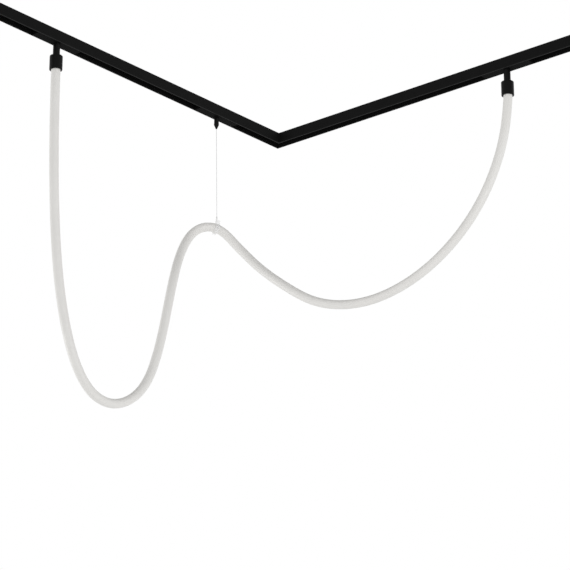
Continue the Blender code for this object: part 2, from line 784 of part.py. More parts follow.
def make_lead(name, place, m):
    """The lead from the driver board down through the stem to the tube's plug."""
    route = [(x, 0.0, FLOOR_TOP + z) for x, z in LEAD_BEND]
    route.append((0.0, 0.0, TUBE_TOP + PLUG_HEIGHT + 2 * GAP))
    position, length = smooth_curve(route)
    points = [place @ position(length * i / LEAD_POINTS) for i in range(LEAD_POINTS + 1)]
    cord(f"{name}_lead", m["lead_sheath"], points, LEAD_RADIUS, 2)


def make_powered_adapter(side, arm, along, turn, inward, m):
    place = empty(f"{side}_adapter", arm, (along, 0, 0))
    name = f"{side}_adapter"
    make_housing(name, place, SPIGOT_RADIUS, m)
    make_lid(name, place, True, m)
    make_contacts(side, place, inward, m)
    make_board(side, place, m)
    make_stem(side, place, m)
    make_tube_cap(side, place, inward, m)
    make_tube_plug(side, place, m)
    make_lead(side, Matrix.Rotation(turn, 4, "Z") @ moved(along), m)


# The hanger between the adapters, with its wire gripper
def fill_coil(bm, radius, wire, bottom, top, turns):
    """A coil spring, of wire with a four-sided section."""
    rings = []
    steps = turns * TURN_POINTS
    for i in range(steps + 1):
        angle = 2 * math.pi * i / TURN_POINTS
        out = Vector((math.cos(angle), math.sin(angle), 0))
        middle = out * radius + Vector((0, 0, bottom + (top - bottom) * i / steps))
        lift = Vector((0, 0, wire))
        rings.append([middle + out * wire, middle + lift, middle - out * wire, middle - lift])
    fill_prism(bm, rings)


def gripper_profile():
    """The body in section: up the bore and chamber, then round the nose, collar, groove and neck."""
    body_top = MOUTH - GAP
    shoulder = MOUTH - GRIPPER_LENGTH
    nose = shoulder - GRIPPER_NOSE
    collar_top = shoulder + COLLAR_HEIGHT
    groove = GRIPPER_RADIUS - GRIPPER_BEVEL
    sleeve = PLUNGER_RADIUS + GAP
    neck_top = FLOOR_TOP + SPIGOT_RISE
    return [
        (HANGER_BORE, CHAMBER_TOP),
        (CHAMBER_RADIUS, CHAMBER_TOP),
        (CHAMBER_RADIUS, shoulder + CHAMBER_TAPER),
        (sleeve, shoulder),
        (sleeve, nose),
        (GRIPPER_NOSE_RADIUS, nose),
        (COLLAR_RADIUS - GRIPPER_BEVEL, shoulder),
        (COLLAR_RADIUS, shoulder + GRIPPER_BEVEL),
        (COLLAR_RADIUS, collar_top),
        (groove, collar_top),
        (groove, collar_top + GRIPPER_GROOVE),
        (GRIPPER_RADIUS, collar_top + GRIPPER_GROOVE + GRIPPER_BEVEL),
        (GRIPPER_RADIUS, body_top),
        (HANGER_NECK, body_top),
        (HANGER_NECK, neck_top),
        (HANGER_BORE, neck_top),
    ]


def make_gripper(parent, m):
    """The wire gripper: its body, the nut that holds it, and the sprung plunger that lets the wire go."""
    turned("gripper_body", m["black_metal"], parent, gripper_profile())
    make_nut("gripper_nut", parent, GRIPPER_NUT_HALF, HANGER_NECK, m)
    plunger = [
        (WIRE_BORE, PLUNGER_TIP),
        (PLUNGER_TIP_RADIUS, PLUNGER_TIP),
        (PLUNGER_RADIUS, PLUNGER_TIP + PLUNGER_TIP_TAPER),
        (PLUNGER_RADIUS, PLUNGER_FLARE_BOTTOM),
        (PLUNGER_FLANGE_RADIUS, PLUNGER_FLARE_TOP),
        (PLUNGER_FLANGE_RADIUS, PLUNGER_TOP),
        (WIRE_BORE, PLUNGER_TOP),
    ]
    turned("gripper_plunger", m["black_metal"], parent, plunger)
    bm = bmesh.new()
    ends = (PLUNGER_TOP + SPRING_ROOM, CHAMBER_TOP - SPRING_ROOM)
    fill_coil(bm, SPRING_RADIUS, SPRING_WIRE, *ends, SPRING_TURNS)
    add_object("gripper_spring", bm, m["steel"], parent, smooth=True)


def clip_frame():
    """The clip's middle, its axis along the tube, its side and its upright."""
    points, after = tube_points()
    a = points[after - 1]
    b = points[after]
    axis = b - a
    level = Vector((axis.x, axis.y, 0)).normalized()
    axis = (level + Vector((0, 0, CLIP_SLOPE))).normalized()
    side = Vector((0, 0, 1)).cross(axis).normalized()
    upright = axis.cross(side)
    return (a + b) / 2, axis, side, upright


def arc(radius, start, end, count):
    angles = [start + (end - start) * i / (count - 1) for i in range(count)]
    return [(radius * math.cos(a), radius * math.sin(a)) for a in angles]


def clip_outline():
    """The clip seen along the tube: an open ring with flared lips below and a neck on top."""
    lip = LIP_ANGLE - math.pi / 2
    lip_inner, _ = arc(CLIP_INNER + LIP_REACH, lip - LIP_FLARE, lip, 2)
    lip_outer, _ = arc(CLIP_OUTER + LIP_REACH, lip - LIP_BLUNT, lip, 2)
    side = arc(CLIP_OUTER, lip, math.acos(NECK_HALF / CLIP_OUTER), CLIP_ARC_POINTS)
    round_at = (NECK_HALF - NECK_ROUND, NECK_TOP - NECK_ROUND)
    neck = [(round_at[0] + x, round_at[1] + y) for x, y in arc(NECK_ROUND, 0.0, math.pi / 2, ROUND_POINTS)]
    right = [lip_inner, lip_outer, *side, *neck]
    left = [(-x, y) for x, y in reversed(right)]
    bore_end = lip - LIP_BLUNT
    bore = arc(CLIP_INNER, -math.pi - bore_end, bore_end - 2 * math.pi, CLIP_BORE_POINTS)
    return right + left + bore


def make_clip(m):
    """The clear clip round the tube. Returns the place on its top where the wire goes in."""
    middle, axis, side, upright = clip_frame()
    outline = clip_outline()
    rings = []
    for shift in (-CLIP_LENGTH / 2, CLIP_LENGTH / 2):
        rings.append([middle + axis * shift + side * x + upright * y for x, y in outline])
    bm = bmesh.new()
    fill_prism(bm, rings)
    clip = add_object("tube_clip", bm, m["clear_plastic"])
    top = middle + upright * NECK_TOP + axis * WIRE_SHIFT
    hole = disc_profile(WIRE_BORE, -WIRE_SUNK - CUT_PAST, CUT_PAST)
    cut(clip, lambda bm: fill_turned(bm, hole, moved(*top), SMALL_SIDES), None)
    return top


def make_wire(top_of_clip, m):
    """The suspension wire, from inside the hanger through the gripper to the crimp on the clip."""
    nose = Vector((HANGER, 0, PLUNGER_TIP))
    run = top_of_clip - Vector((0, 0, WIRE_SUNK)) - nose
    points = [Vector((HANGER, 0, FLOOR_TOP + WIRE_TAIL)), Vector((HANGER, 0, CHAMBER_TOP)), nose]
    points += [nose + run * (i + 1) / WIRE_STEPS for i in range(WIRE_STEPS)]
    cord("suspension_wire", m["wire_steel"], points, WIRE_RADIUS, 2)
    tilt = (-run).to_track_quat("Z", "Y").to_matrix().to_4x4()
    ring = ring_profile(WIRE_BORE, CRIMP_RADIUS, CRIMP_ROOM, CRIMP_HEIGHT)
    place = moved(*top_of_clip) @ tilt
    turned("wire_crimp", m["clear_plastic"], None, ring, place, SMALL_SIDES)


def make_hanger(arm, m):
    place = empty("hanger", arm, (HANGER, 0, 0))
    make_housing("hanger", place, HANGER_NECK, m)
    make_lid("hanger", place, False, m)
    make_gripper(place, m)
    make_wire(make_clip(m), m)


def main():
    for old in list(bpy.data.objects):
        bpy.data.objects.remove(old)
    m = make_materials()
    make_corner(m)
    arms = (("left", LEFT_ADAPTER, 0.0, 1), ("right", RIGHT_ADAPTER, math.pi / 2, -1))
    for side, along, turn, inward in arms:
        arm = empty(f"{side}_arm", turn=turn)
        pierced = make_arm_track(side, arm, inward, m)
        make_powered_adapter(side, arm, along, turn, inward, m)
        if side == "left":
            make_feed(arm, pierced, m)
            make_hanger(arm, m)
    points, _ = tube_points()
    cord("light_tube", m["silicone"], points, TUBE_RADIUS, 4)


main()
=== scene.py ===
"""The L-shaped magnetic track light with its looped light tube, dressed for rendering.

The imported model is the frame. The wire and the spring take their places from it, and the light tube's
route is repeated here. Metres, +Z up. The ceiling face is Z = 0, the left arm runs along +X and the right
arm along +Y.
"""

import json
import math

import bmesh
import bpy
import numpy as np
from mathutils import Matrix, Vector
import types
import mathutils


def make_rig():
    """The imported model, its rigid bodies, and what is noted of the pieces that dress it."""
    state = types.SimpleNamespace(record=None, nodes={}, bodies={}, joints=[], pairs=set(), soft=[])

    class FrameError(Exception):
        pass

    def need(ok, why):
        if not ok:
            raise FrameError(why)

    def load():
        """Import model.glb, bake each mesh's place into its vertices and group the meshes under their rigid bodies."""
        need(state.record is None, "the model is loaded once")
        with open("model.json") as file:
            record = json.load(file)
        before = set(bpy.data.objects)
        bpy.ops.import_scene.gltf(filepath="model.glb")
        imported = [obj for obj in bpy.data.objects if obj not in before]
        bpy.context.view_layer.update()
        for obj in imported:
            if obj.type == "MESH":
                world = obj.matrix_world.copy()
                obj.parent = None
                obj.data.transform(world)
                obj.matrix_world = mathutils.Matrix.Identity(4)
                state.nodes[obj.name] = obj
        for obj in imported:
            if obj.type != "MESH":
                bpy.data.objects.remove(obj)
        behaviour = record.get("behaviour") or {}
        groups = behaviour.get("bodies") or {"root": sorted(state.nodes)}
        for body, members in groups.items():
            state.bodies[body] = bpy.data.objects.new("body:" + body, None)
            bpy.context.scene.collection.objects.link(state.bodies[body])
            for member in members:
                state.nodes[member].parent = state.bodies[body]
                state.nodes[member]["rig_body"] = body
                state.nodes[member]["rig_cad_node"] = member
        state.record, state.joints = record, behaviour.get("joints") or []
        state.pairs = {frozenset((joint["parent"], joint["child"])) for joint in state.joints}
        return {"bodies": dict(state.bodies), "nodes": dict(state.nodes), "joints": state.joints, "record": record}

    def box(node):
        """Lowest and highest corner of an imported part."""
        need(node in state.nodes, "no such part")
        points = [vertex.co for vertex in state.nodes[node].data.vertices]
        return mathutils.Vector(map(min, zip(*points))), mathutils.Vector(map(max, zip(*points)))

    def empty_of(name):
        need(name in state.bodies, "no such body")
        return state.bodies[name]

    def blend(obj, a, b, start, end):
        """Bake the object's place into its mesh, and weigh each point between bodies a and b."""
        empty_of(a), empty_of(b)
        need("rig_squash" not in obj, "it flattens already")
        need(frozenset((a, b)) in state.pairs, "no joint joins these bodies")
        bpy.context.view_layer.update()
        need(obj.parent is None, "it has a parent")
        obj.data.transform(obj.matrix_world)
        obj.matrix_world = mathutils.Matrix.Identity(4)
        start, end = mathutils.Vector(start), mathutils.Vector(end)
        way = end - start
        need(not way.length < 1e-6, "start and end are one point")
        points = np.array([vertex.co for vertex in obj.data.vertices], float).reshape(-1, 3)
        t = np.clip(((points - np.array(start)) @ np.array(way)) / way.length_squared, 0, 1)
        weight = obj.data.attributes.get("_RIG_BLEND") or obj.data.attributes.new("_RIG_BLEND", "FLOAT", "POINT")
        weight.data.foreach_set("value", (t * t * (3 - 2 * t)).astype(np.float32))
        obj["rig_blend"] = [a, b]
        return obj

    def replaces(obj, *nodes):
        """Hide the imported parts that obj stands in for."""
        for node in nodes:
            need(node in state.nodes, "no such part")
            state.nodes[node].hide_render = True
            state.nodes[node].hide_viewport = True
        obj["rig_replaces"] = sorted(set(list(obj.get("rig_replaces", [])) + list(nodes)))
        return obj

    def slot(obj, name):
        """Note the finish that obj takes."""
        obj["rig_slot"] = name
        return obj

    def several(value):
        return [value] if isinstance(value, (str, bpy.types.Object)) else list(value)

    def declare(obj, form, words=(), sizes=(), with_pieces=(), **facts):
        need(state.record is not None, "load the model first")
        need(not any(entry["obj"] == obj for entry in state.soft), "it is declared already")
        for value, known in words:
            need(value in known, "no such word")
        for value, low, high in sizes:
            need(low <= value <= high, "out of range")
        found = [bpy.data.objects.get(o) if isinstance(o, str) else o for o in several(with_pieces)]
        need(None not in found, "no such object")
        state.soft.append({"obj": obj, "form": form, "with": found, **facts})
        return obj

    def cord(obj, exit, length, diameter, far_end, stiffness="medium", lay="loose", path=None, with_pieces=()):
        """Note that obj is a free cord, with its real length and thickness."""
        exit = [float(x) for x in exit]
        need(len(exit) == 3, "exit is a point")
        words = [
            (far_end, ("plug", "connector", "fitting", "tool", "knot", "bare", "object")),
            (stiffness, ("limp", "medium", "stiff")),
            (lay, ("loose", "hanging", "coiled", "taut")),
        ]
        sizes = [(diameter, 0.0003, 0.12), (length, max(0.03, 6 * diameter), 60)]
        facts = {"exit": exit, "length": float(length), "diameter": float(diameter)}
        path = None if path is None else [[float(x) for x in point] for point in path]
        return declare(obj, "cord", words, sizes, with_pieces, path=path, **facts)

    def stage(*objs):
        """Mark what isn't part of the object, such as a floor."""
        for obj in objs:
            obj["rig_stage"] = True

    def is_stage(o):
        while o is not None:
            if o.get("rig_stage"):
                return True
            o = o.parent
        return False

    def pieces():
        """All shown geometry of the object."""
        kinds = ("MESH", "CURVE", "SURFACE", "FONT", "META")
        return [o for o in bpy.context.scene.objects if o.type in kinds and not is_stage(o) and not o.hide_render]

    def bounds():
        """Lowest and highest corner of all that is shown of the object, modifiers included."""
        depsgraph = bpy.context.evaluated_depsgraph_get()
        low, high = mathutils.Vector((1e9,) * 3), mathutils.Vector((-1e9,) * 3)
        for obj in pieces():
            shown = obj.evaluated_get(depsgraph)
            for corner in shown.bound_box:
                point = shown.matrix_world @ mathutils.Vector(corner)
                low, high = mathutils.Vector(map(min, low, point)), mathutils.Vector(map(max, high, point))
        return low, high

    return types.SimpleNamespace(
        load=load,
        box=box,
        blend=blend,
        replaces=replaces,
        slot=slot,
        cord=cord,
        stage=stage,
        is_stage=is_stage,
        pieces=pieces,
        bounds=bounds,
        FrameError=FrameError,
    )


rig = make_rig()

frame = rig.load()
CAD_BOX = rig.bounds()

# The camera stands below the track, outside the corner it looks into
CAMERA_PLACE = (3.87787, 3.30509, -2.19415)
CAMERA_PITCH = math.radians(19.664)  # above level
CAMERA_YAW = math.radians(220.263)  # the way it looks, from +X
SENSOR = 36.0  # millimetres, as is the lens
LENS = 148.26
VIEW_REACH = 50.0  # metres

# The light tube
TUBE_RADIUS = 0.010
TUBE_ROUTE = (
    (0.7285, 0.0000, -0.0740),
    (0.7285, 0.0000, -0.0900),
    (0.7240, 0.0000, -0.3000),
    (0.7140, 0.0000, -0.4400),
    (0.6820, 0.0000, -0.6220),
    (0.6600, 0.0000, -0.6850),
    (0.6225, 0.0000, -0.7465),
    (0.5895, 0.0000, -0.7725),
    (0.5500, 0.0000, -0.7820),
    (0.4590, 0.0000, -0.7435),
    (0.4245, 0.0000, -0.6990),
    (0.4050, 0.0000, -0.6550),
    (0.3845, 0.0000, -0.5880),
    (0.3635, -0.0020, -0.5070),
    (0.3410, -0.0080, -0.4400),
    (0.3195, -0.0175, -0.3990),
    (0.2945, -0.0265, -0.3590),
    (0.2695, -0.0290, -0.3240),
    (0.2440, -0.0210, -0.3000),
    (0.2170, -0.0050, -0.2945),
    (0.1940, 0.0090, -0.3070),
    (0.1775, 0.0245, -0.3305),
    (0.1670, 0.0440, -0.3555),
    (0.1615, 0.0680, -0.3820),
    (0.1590, 0.1040, -0.4150),
    (0.1550, 0.1590, -0.4585),
    (0.1390, 0.2250, -0.5010),
    (0.1040, 0.3330, -0.5175),
    (0.0820, 0.4020, -0.4995),
    (0.0620, 0.4640, -0.4655),
    (0.0450, 0.5180, -0.4205),
    (0.0180, 0.6015, -0.3040),
    (0.0095, 0.6302, -0.2355),
    (0.0030, 0.6485, -0.1605),
    (0.0004, 0.6547, -0.1080),
    (0.0000, 0.6561, -0.0900),
    (0.0000, 0.6561, -0.0740),
)
# Each stretch of tube bends between two bodies. It ends at the point of the route given here
STRETCHES = (
    ("left_adapter", "track", 5),
    ("track", "hanger", 11),
    ("hanger", "clip", 19),
    ("clip", "hanger", 26),
    ("hanger", "track", 29),
    ("track", "right_adapter", len(TUBE_ROUTE) - 1),
)
BLEND_CLEARANCE = 0.013  # more than the tube's radius
RING_STEP = 0.0025
TUBE_SIDES = 40

# The light strip inside the tube
STRIP_WIDTH = 0.0080
STRIP_THICK = 0.0012
STRIP_OFFSET = 0.0035  # above the tube's centre line
LED_PITCH = 0.0125
LED_LENGTH = 0.0028
LED_WIDTH = 0.0035
LED_HEIGHT = 0.0008
BARE_RINGS = 3  # at each end of a stretch, with no lamp on them

# The suspension wire
WIRE_RADIUS = 0.0005
WIRE_STRANDS = 6
WIRE_LAY = 0.006  # a strand goes once round in this length
WIRE_STEP = 0.0006
STRAND_SIDES = 4
STRAND_RELIEF = 0.12  # of the wire's radius

# Edges sharper than this aren't shaded smooth
SMOOTH_ANGLE = math.radians(40)

# The studio
FLOOR_DROP = 1.7  # the floor lies this far below the object's lowest point
FLOOR_SIZE = 30.0
FLOOR_CENTRE = (0.5, 0.5)
FLOOR_TONES = (0.84, 0.88)
FLOOR_ROUGH = 0.8
FLOOR_SPECULAR = 0.2
FLOOR_GLOW = 0.35
WALL_LIGHT = 1.0
WALL_TOP = 0.50  # the walls are white up to this height of a unit direction
CEILING_FROM = 0.75  # and the ceiling is dim from here
CEILING_LIGHT = 0.30
LIGHT_TARGET = (0.4, 0.3, -0.35)
# Soft round lights: name, place, diameter and watts
LIGHTS = (
    ("key", (0.5, 3.0, -0.9), 1.2, 10.0),
    ("fill", (1.8, -2.4, -1.1), 1.4, 14.0),
)

# Scales of the noise textures, in spots to the metre
BLACK_SPOTS = 35.0
TARNISH_SPOTS = 90.0
STREAK_SPOTS = 400.0
CLOUD_SPOTS = 12.0
SILICONE_SPOTS = 220.0
PLAIN_SPOTS = 60.0
FLOOR_SPOTS = 3.0
# The part of a noise's range that a ramp spreads over its two tones
NOISE_SPAN = (0.3, 0.7)
BLACK_SPAN = (0.3, 0.75)
TARNISH_SPAN = (0.35, 0.6)
CLOUD_SPAN = (0.35, 0.65)
FLOOR_SPAN = (0.4, 0.6)
STREAK_STRETCH = (0.02, 0.02, 1.0)  # a drawn metal's streaks are long in X and Y
DOWNWARD_SPAN = (0.5, 0.9)  # a face whose normal points down this much takes on the painted underside light

# Black surfaces: darkest and palest tone, roughness range, grain's scale and relief, specular level,
# and the painted light on faces that look down, a paler tone that stands in for light from below
BLACKS = {
    "black_aluminium": ((0.0063, 0.0075), (0.50, 0.62), 2600.0, 0.00003, 0.03, 0.025),
    "black_plastic": ((0.0050, 0.0062), (0.60, 0.72), 1800.0, 0.00004, 0.02, None),
    "black_metal": ((0.0030, 0.0042), (0.34, 0.42), 2200.0, 0.00003, 0.08, None),
    "insulator": ((0.0025, 0.0040), (0.55, 0.70), 1500.0, 0.00004, 0.05, None),
}
# Bare metals: colour, tarnished colour, roughness range, relief, and whether they are drawn
METALS = {
    "copper": ((0.30, 0.15, 0.09), (0.16, 0.08, 0.05), (0.35, 0.55), 0.00001, True),
    "steel": ((0.60, 0.60, 0.61), (0.42, 0.42, 0.43), (0.28, 0.48), 0.00001, True),
    "magnet": ((0.62, 0.61, 0.60), (0.50, 0.49, 0.48), (0.15, 0.28), 0.000005, False),
    "brass": ((0.75, 0.58, 0.28), (0.50, 0.37, 0.16), (0.22, 0.40), 0.00001, True),
}
# Plain surfaces: colour, its shade, roughness range, grain's scale and relief, and opacity
PLAINS = {
    "lead_sheath": ((0.72, 0.72, 0.70), (0.64, 0.64, 0.62), (0.40, 0.55), 1200.0, 0.00003, 1.0),
    "clear_plastic": ((0.93, 0.93, 0.93), (0.89, 0.89, 0.89), (0.35, 0.50), 500.0, 0.00002, 0.38),
    "wire_steel": ((0.58, 0.58, 0.59), (0.50, 0.50, 0.51), (0.35, 0.50), 900.0, 0.000003, 1.0),
    "strip_board": ((0.60, 0.60, 0.58), (0.52, 0.52, 0.50), (0.40, 0.50), 800.0, 0.00002, 1.0),
    "led": ((0.80, 0.72, 0.36), (0.72, 0.62, 0.28), (0.30, 0.40), 900.0, 0.00002, 1.0),
}
# Milky silicone
SILICONE_TONES = ((0.712, 0.702, 0.681), (0.730, 0.720, 0.699))
SILICONE_ROUGH = (0.30, 0.40)
SILICONE_SPECULAR = 0.4
# Circuit boards
MASK_TONES = ((0.015, 0.11, 0.045), (0.02, 0.13, 0.055))
COPPER_RUN = (0.06, 0.22, 0.10)
RUN_SCALE = 160.0
RUN_WIDTH = 0.03  # of the spaces between the runs
BOARD_ROUGH = 0.35
BOARD_GRAIN = 1500.0
BOARD_RELIEF = 0.00003


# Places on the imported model
def lowest(node):
    return Vector(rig.box(node)[0])


def highest(node):
    return Vector(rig.box(node)[1])


def middle(node):
    return (lowest(node) + highest(node)) / 2


# Camera
def make_camera():
    data = bpy.data.cameras.new("camera")
    data.lens = LENS
    data.sensor_width = SENSOR
    data.clip_end = VIEW_REACH
    camera = bpy.data.objects.new("camera", data)
    bpy.context.collection.objects.link(camera)
    camera.location = CAMERA_PLACE
    level = math.cos(CAMERA_PITCH)
    ahead = Vector((level * math.cos(CAMERA_YAW), level * math.sin(CAMERA_YAW), math.sin(CAMERA_PITCH)))
    camera.rotation_euler = ahead.to_track_quat("-Z", "Y").to_euler()
    bpy.context.scene.camera = camera


# Smooth curves
def smooth_curve(route):
    """A natural cubic spline: the position at a chord length, and the route points' chord lengths."""
    points = np.array(route)
    knots = np.concatenate(([0.0], np.cumsum(np.linalg.norm(np.diff(points, axis=0), axis=1))))
    count = len(points)
    step = np.diff(knots)
    slope = np.diff(points, axis=0) / step[:, None]
    system = np.eye(count)
    target = np.zeros((count, 3))
    for i in range(1, count - 1):
        system[i, i - 1 : i + 2] = step[i - 1], 2 * (step[i - 1] + step[i]), step[i]
        target[i] = 6 * (slope[i] - slope[i - 1])
    bend = np.linalg.solve(system, target)

    def position(t):
        i = int(np.clip(np.searchsorted(knots, t) - 1, 0, count - 2))
        a = knots[i + 1] - t
        b = t - knots[i]
        h = step[i]
        ends = (a * points[i] + b * points[i + 1]) / h
        sag = (a**3 / h - a * h) * bend[i] + (b**3 / h - b * h) * bend[i + 1]
        return Vector(ends + sag / 6)

    return position, knots


def carried_frames(points, first_up):
    """Tangent, up and side at each point, carried along the curve without twist."""
    frames = []
    up = Vector(first_up)
    for i in range(len(points)):
        ahead = points[min(i + 1, len(points) - 1)] - points[max(i - 1, 0)]
        ahead.normalize()
        up = (up - ahead * up.dot(ahead)).normalized()
        frames.append((ahead, up.copy(), ahead.cross(up)))
    return frames


def mesh_object(name, bm, finish, slot, smooth=True):
    bmesh.ops.recalc_face_normals(bm, faces=bm.faces)
    mesh = bpy.data.meshes.new(name)
    bm.to_mesh(mesh)
    bm.free()
    mesh.materials.append(finish)
    if smooth:
        mesh.shade_smooth()
        mesh.set_sharp_from_angle(angle=SMOOTH_ANGLE)
    made = bpy.data.objects.new(name, mesh)
    bpy.context.collection.objects.link(made)
    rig.slot(made, slot)
    return made


def loft(rings):
    """A closed mesh through rings of equal length."""
    bm = bmesh.new()
    loops = [[bm.verts.new(p) for p in ring] for ring in rings]
    for a, b in zip(loops, loops[1:]):
        for i in range(len(a)):
            j = (i + 1) % len(a)
            bm.faces.new((a[i], a[j], b[j], b[i]))
    bm.faces.new(loops[0])
    bm.faces.new(loops[-1])
    return bm


# Materials
def grey(level):
    return (level, level, level)


class Shader:
    """A material's Principled shader, and short ways to add nodes to it."""

    def __init__(self, name, color, roughness, metallic=0.0, specular=0.5):
        self.material = bpy.data.materials.new(name)
        self.material.use_nodes = True
        self.nodes = self.material.node_tree.nodes
        self.links = self.material.node_tree.links
        self.principled = self.nodes["Principled BSDF"]
        self.set("Base Color", (*color, 1.0))
        self.set("Roughness", roughness)
        self.set("Metallic", metallic)
        self.set("Specular IOR Level", specular)
        self.place = self.nodes.new("ShaderNodeTexCoord").outputs["Object"]

    def set(self, socket, value):
        self.principled.inputs[socket].default_value = value

    def stretched(self, scale):
        mapping = self.nodes.new("ShaderNodeMapping")
        mapping.inputs["Scale"].default_value = scale
        self.links.new(self.place, mapping.inputs["Vector"])
        return mapping.outputs["Vector"]

    def noise(self, scale, detail=4.0, stretch=None):
        texture = self.nodes.new("ShaderNodeTexNoise")
        texture.inputs["Scale"].default_value = scale
        texture.inputs["Detail"].default_value = detail
        source = self.place if stretch is None else self.stretched(stretch)
        self.links.new(source, texture.inputs["Vector"])
        return texture.outputs["Fac"]

    def ramp(self, value, low, high, span=NOISE_SPAN):
        """Maps a span of values onto a range of greys or colours."""
        ramp = self.nodes.new("ShaderNodeValToRGB")
        for element, level, place in zip(ramp.color_ramp.elements, (low, high), span):
            element.position = place
            element.color = (*level, 1.0) if hasattr(level, "__len__") else (*grey(level), 1.0)
        self.links.new(value, ramp.inputs["Fac"])
        return ramp.outputs["Color"]

    def facing_down(self):
        """0 on sides and tops, rising to 1 on faces that look down. It masks painted light on undersides."""
        geometry = self.nodes.new("ShaderNodeNewGeometry")
        parts = self.nodes.new("ShaderNodeSeparateXYZ")
        flip = self.nodes.new("ShaderNodeMath")
        flip.operation = "MULTIPLY"
        flip.inputs[1].default_value = -1.0
        self.links.new(geometry.outputs["Normal"], parts.inputs["Vector"])
        self.links.new(parts.outputs["Z"], flip.inputs[0])
        return self.ramp(flip.outputs["Value"], 0.0, 1.0, DOWNWARD_SPAN)

    def mix(self, amount, first, color):
        """Turns the first colour, which comes from a node, into the second by an amount."""
        mix = self.nodes.new("ShaderNodeMix")
        mix.data_type = "RGBA"
        factor = next(socket for socket in mix.inputs if socket.name == "Factor")
        a, b = (socket for socket in mix.inputs if socket.type == "RGBA")
        self.links.new(amount, factor)
        self.links.new(first, a)
        b.default_value = (*color, 1.0)
        return next(socket for socket in mix.outputs if socket.type == "RGBA")

    def drive(self, socket, value):
        self.links.new(value, self.principled.inputs[socket])

    def bump(self, value, distance):
        bump = self.nodes.new("ShaderNodeBump")
        bump.inputs["Distance"].default_value = distance
        self.links.new(value, bump.inputs["Height"])
        self.links.new(bump.outputs["Normal"], self.principled.inputs["Normal"])


def black_finish(name, tones, rough, grain, bump, specular, lit_underside):
    """A black surface with a fine grain. Its faces that look down may take painted light, a paler tone that stands in
    for light from below.
    """
    shader = Shader(name, grey(tones[0]), rough[0], specular=specular)
    fine = shader.noise(grain)
    color = shader.ramp(shader.noise(BLACK_SPOTS), *tones, BLACK_SPAN)
    # Painted light: faces that look down turn paler, as if lit from below
    if lit_underside is not None:
        color = shader.mix(shader.facing_down(), color, grey(lit_underside))
    shader.drive("Base Color", color)
    shader.drive("Roughness", shader.ramp(fine, *rough))
    shader.bump(fine, bump)
    return shader.material


def metal_finish(name, color, tarnish, rough, bump, drawn):
    """A bare metal with drawn streaks or fine specks."""
    shader = Shader(name, color, rough[0], metallic=1.0)
    streaks = shader.noise(STREAK_SPOTS, detail=5.0, stretch=STREAK_STRETCH if drawn else None)
    shader.drive("Base Color", shader.ramp(shader.noise(TARNISH_SPOTS), tarnish, color, TARNISH_SPAN))
    shader.drive("Roughness", shader.ramp(streaks, *rough))
    shader.bump(streaks, bump)
    return shader.material


def board_finish():
    """Green solder mask with paler copper runs under it."""
    shader = Shader("board", MASK_TONES[0], BOARD_ROUGH)
    brick = shader.nodes.new("ShaderNodeTexBrick")
    brick.inputs["Scale"].default_value = RUN_SCALE
    brick.inputs["Mortar Size"].default_value = RUN_WIDTH
    for socket, tone in zip(("Color1", "Color2", "Mortar"), (*MASK_TONES, COPPER_RUN)):
        brick.inputs[socket].default_value = (*tone, 1.0)
    shader.links.new(shader.place, brick.inputs["Vector"])
    shader.drive("Base Color", brick.outputs["Color"])
    shader.bump(shader.noise(BOARD_GRAIN), BOARD_RELIEF)
    return shader.material


def silicone_finish():
    """Milky silicone: slightly cloudy, with a soft sheen."""
    shader = Shader("silicone", SILICONE_TONES[0], SILICONE_ROUGH[0], specular=SILICONE_SPECULAR)
    cloud = shader.noise(CLOUD_SPOTS, detail=3.0)
    shader.drive("Base Color", shader.ramp(cloud, *SILICONE_TONES, CLOUD_SPAN))
    shader.drive("Roughness", shader.ramp(shader.noise(SILICONE_SPOTS), *SILICONE_ROUGH))
    return shader.material


def plain_finish(name, color, shade, rough, grain, bump, opacity):
    """A moulded or coated surface with slight colour and gloss variation."""
    shader = Shader(name, color, rough[0])
    shader.drive("Base Color", shader.ramp(shader.noise(PLAIN_SPOTS), shade, color))
    fine = shader.noise(grain)
    shader.drive("Roughness", shader.ramp(fine, *rough))
    shader.bump(fine, bump)
    shader.set("Alpha", opacity)
    return shader.material


def make_materials():
    finishes = {"board": board_finish(), "silicone": silicone_finish()}
    for make, looks in ((black_finish, BLACKS), (metal_finish, METALS), (plain_finish, PLAINS)):
        for name, look in looks.items():
            finishes[name] = make(name, *look)
    return finishes


# The light tube
def ring_of(point, up, side, radius, sides):
    ring = []
    for i in range(sides):
        angle = 2 * math.pi * i / sides
        ring.append(point + (up * math.cos(angle) + side * math.sin(angle)) * radius)
    return ring


def tube_line():
    """Close points along the whole tube, the frames at them, and the index at which each stretch ends."""
    position, knots = smooth_curve(TUBE_ROUTE)
    count = int(knots[-1] / RING_STEP)
    at = [knots[-1] * i / count for i in range(count + 1)]
    points = [position(t) for t in at]
    # The crest by the clip is the highest point of the tube's middle half. The frames are upright there
    middle_half = range(count // 4, 3 * count // 4)
    crest = max(middle_half, key=lambda i: points[i].z)
    up = Vector((0, 0, 1))
    after = carried_frames(points[crest:], up)
    before = carried_frames(points[crest::-1], up)
    frames = [(-a, u, -s) for a, u, s in before[:0:-1]] + after
    stops = [knots[stop] for *_, stop in STRETCHES]
    ends = [min(range(count + 1), key=lambda i: abs(at[i] - stop)) for stop in stops]
    return points, frames, ends


def path_length(points):
    return sum((b - a).length for a, b in zip(points, points[1:]))


def bend_with(piece, stretch, points):
    """Bends a piece between its stretch's two bodies.

    Its end faces lie outside the blend, so each stays joined to the next piece.
    """
    first, second, _ = stretch
    clear = (points[-1] - points[0]).normalized() * BLEND_CLEARANCE
    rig.blend(piece, first, second, points[0] + clear, points[-1] - clear)


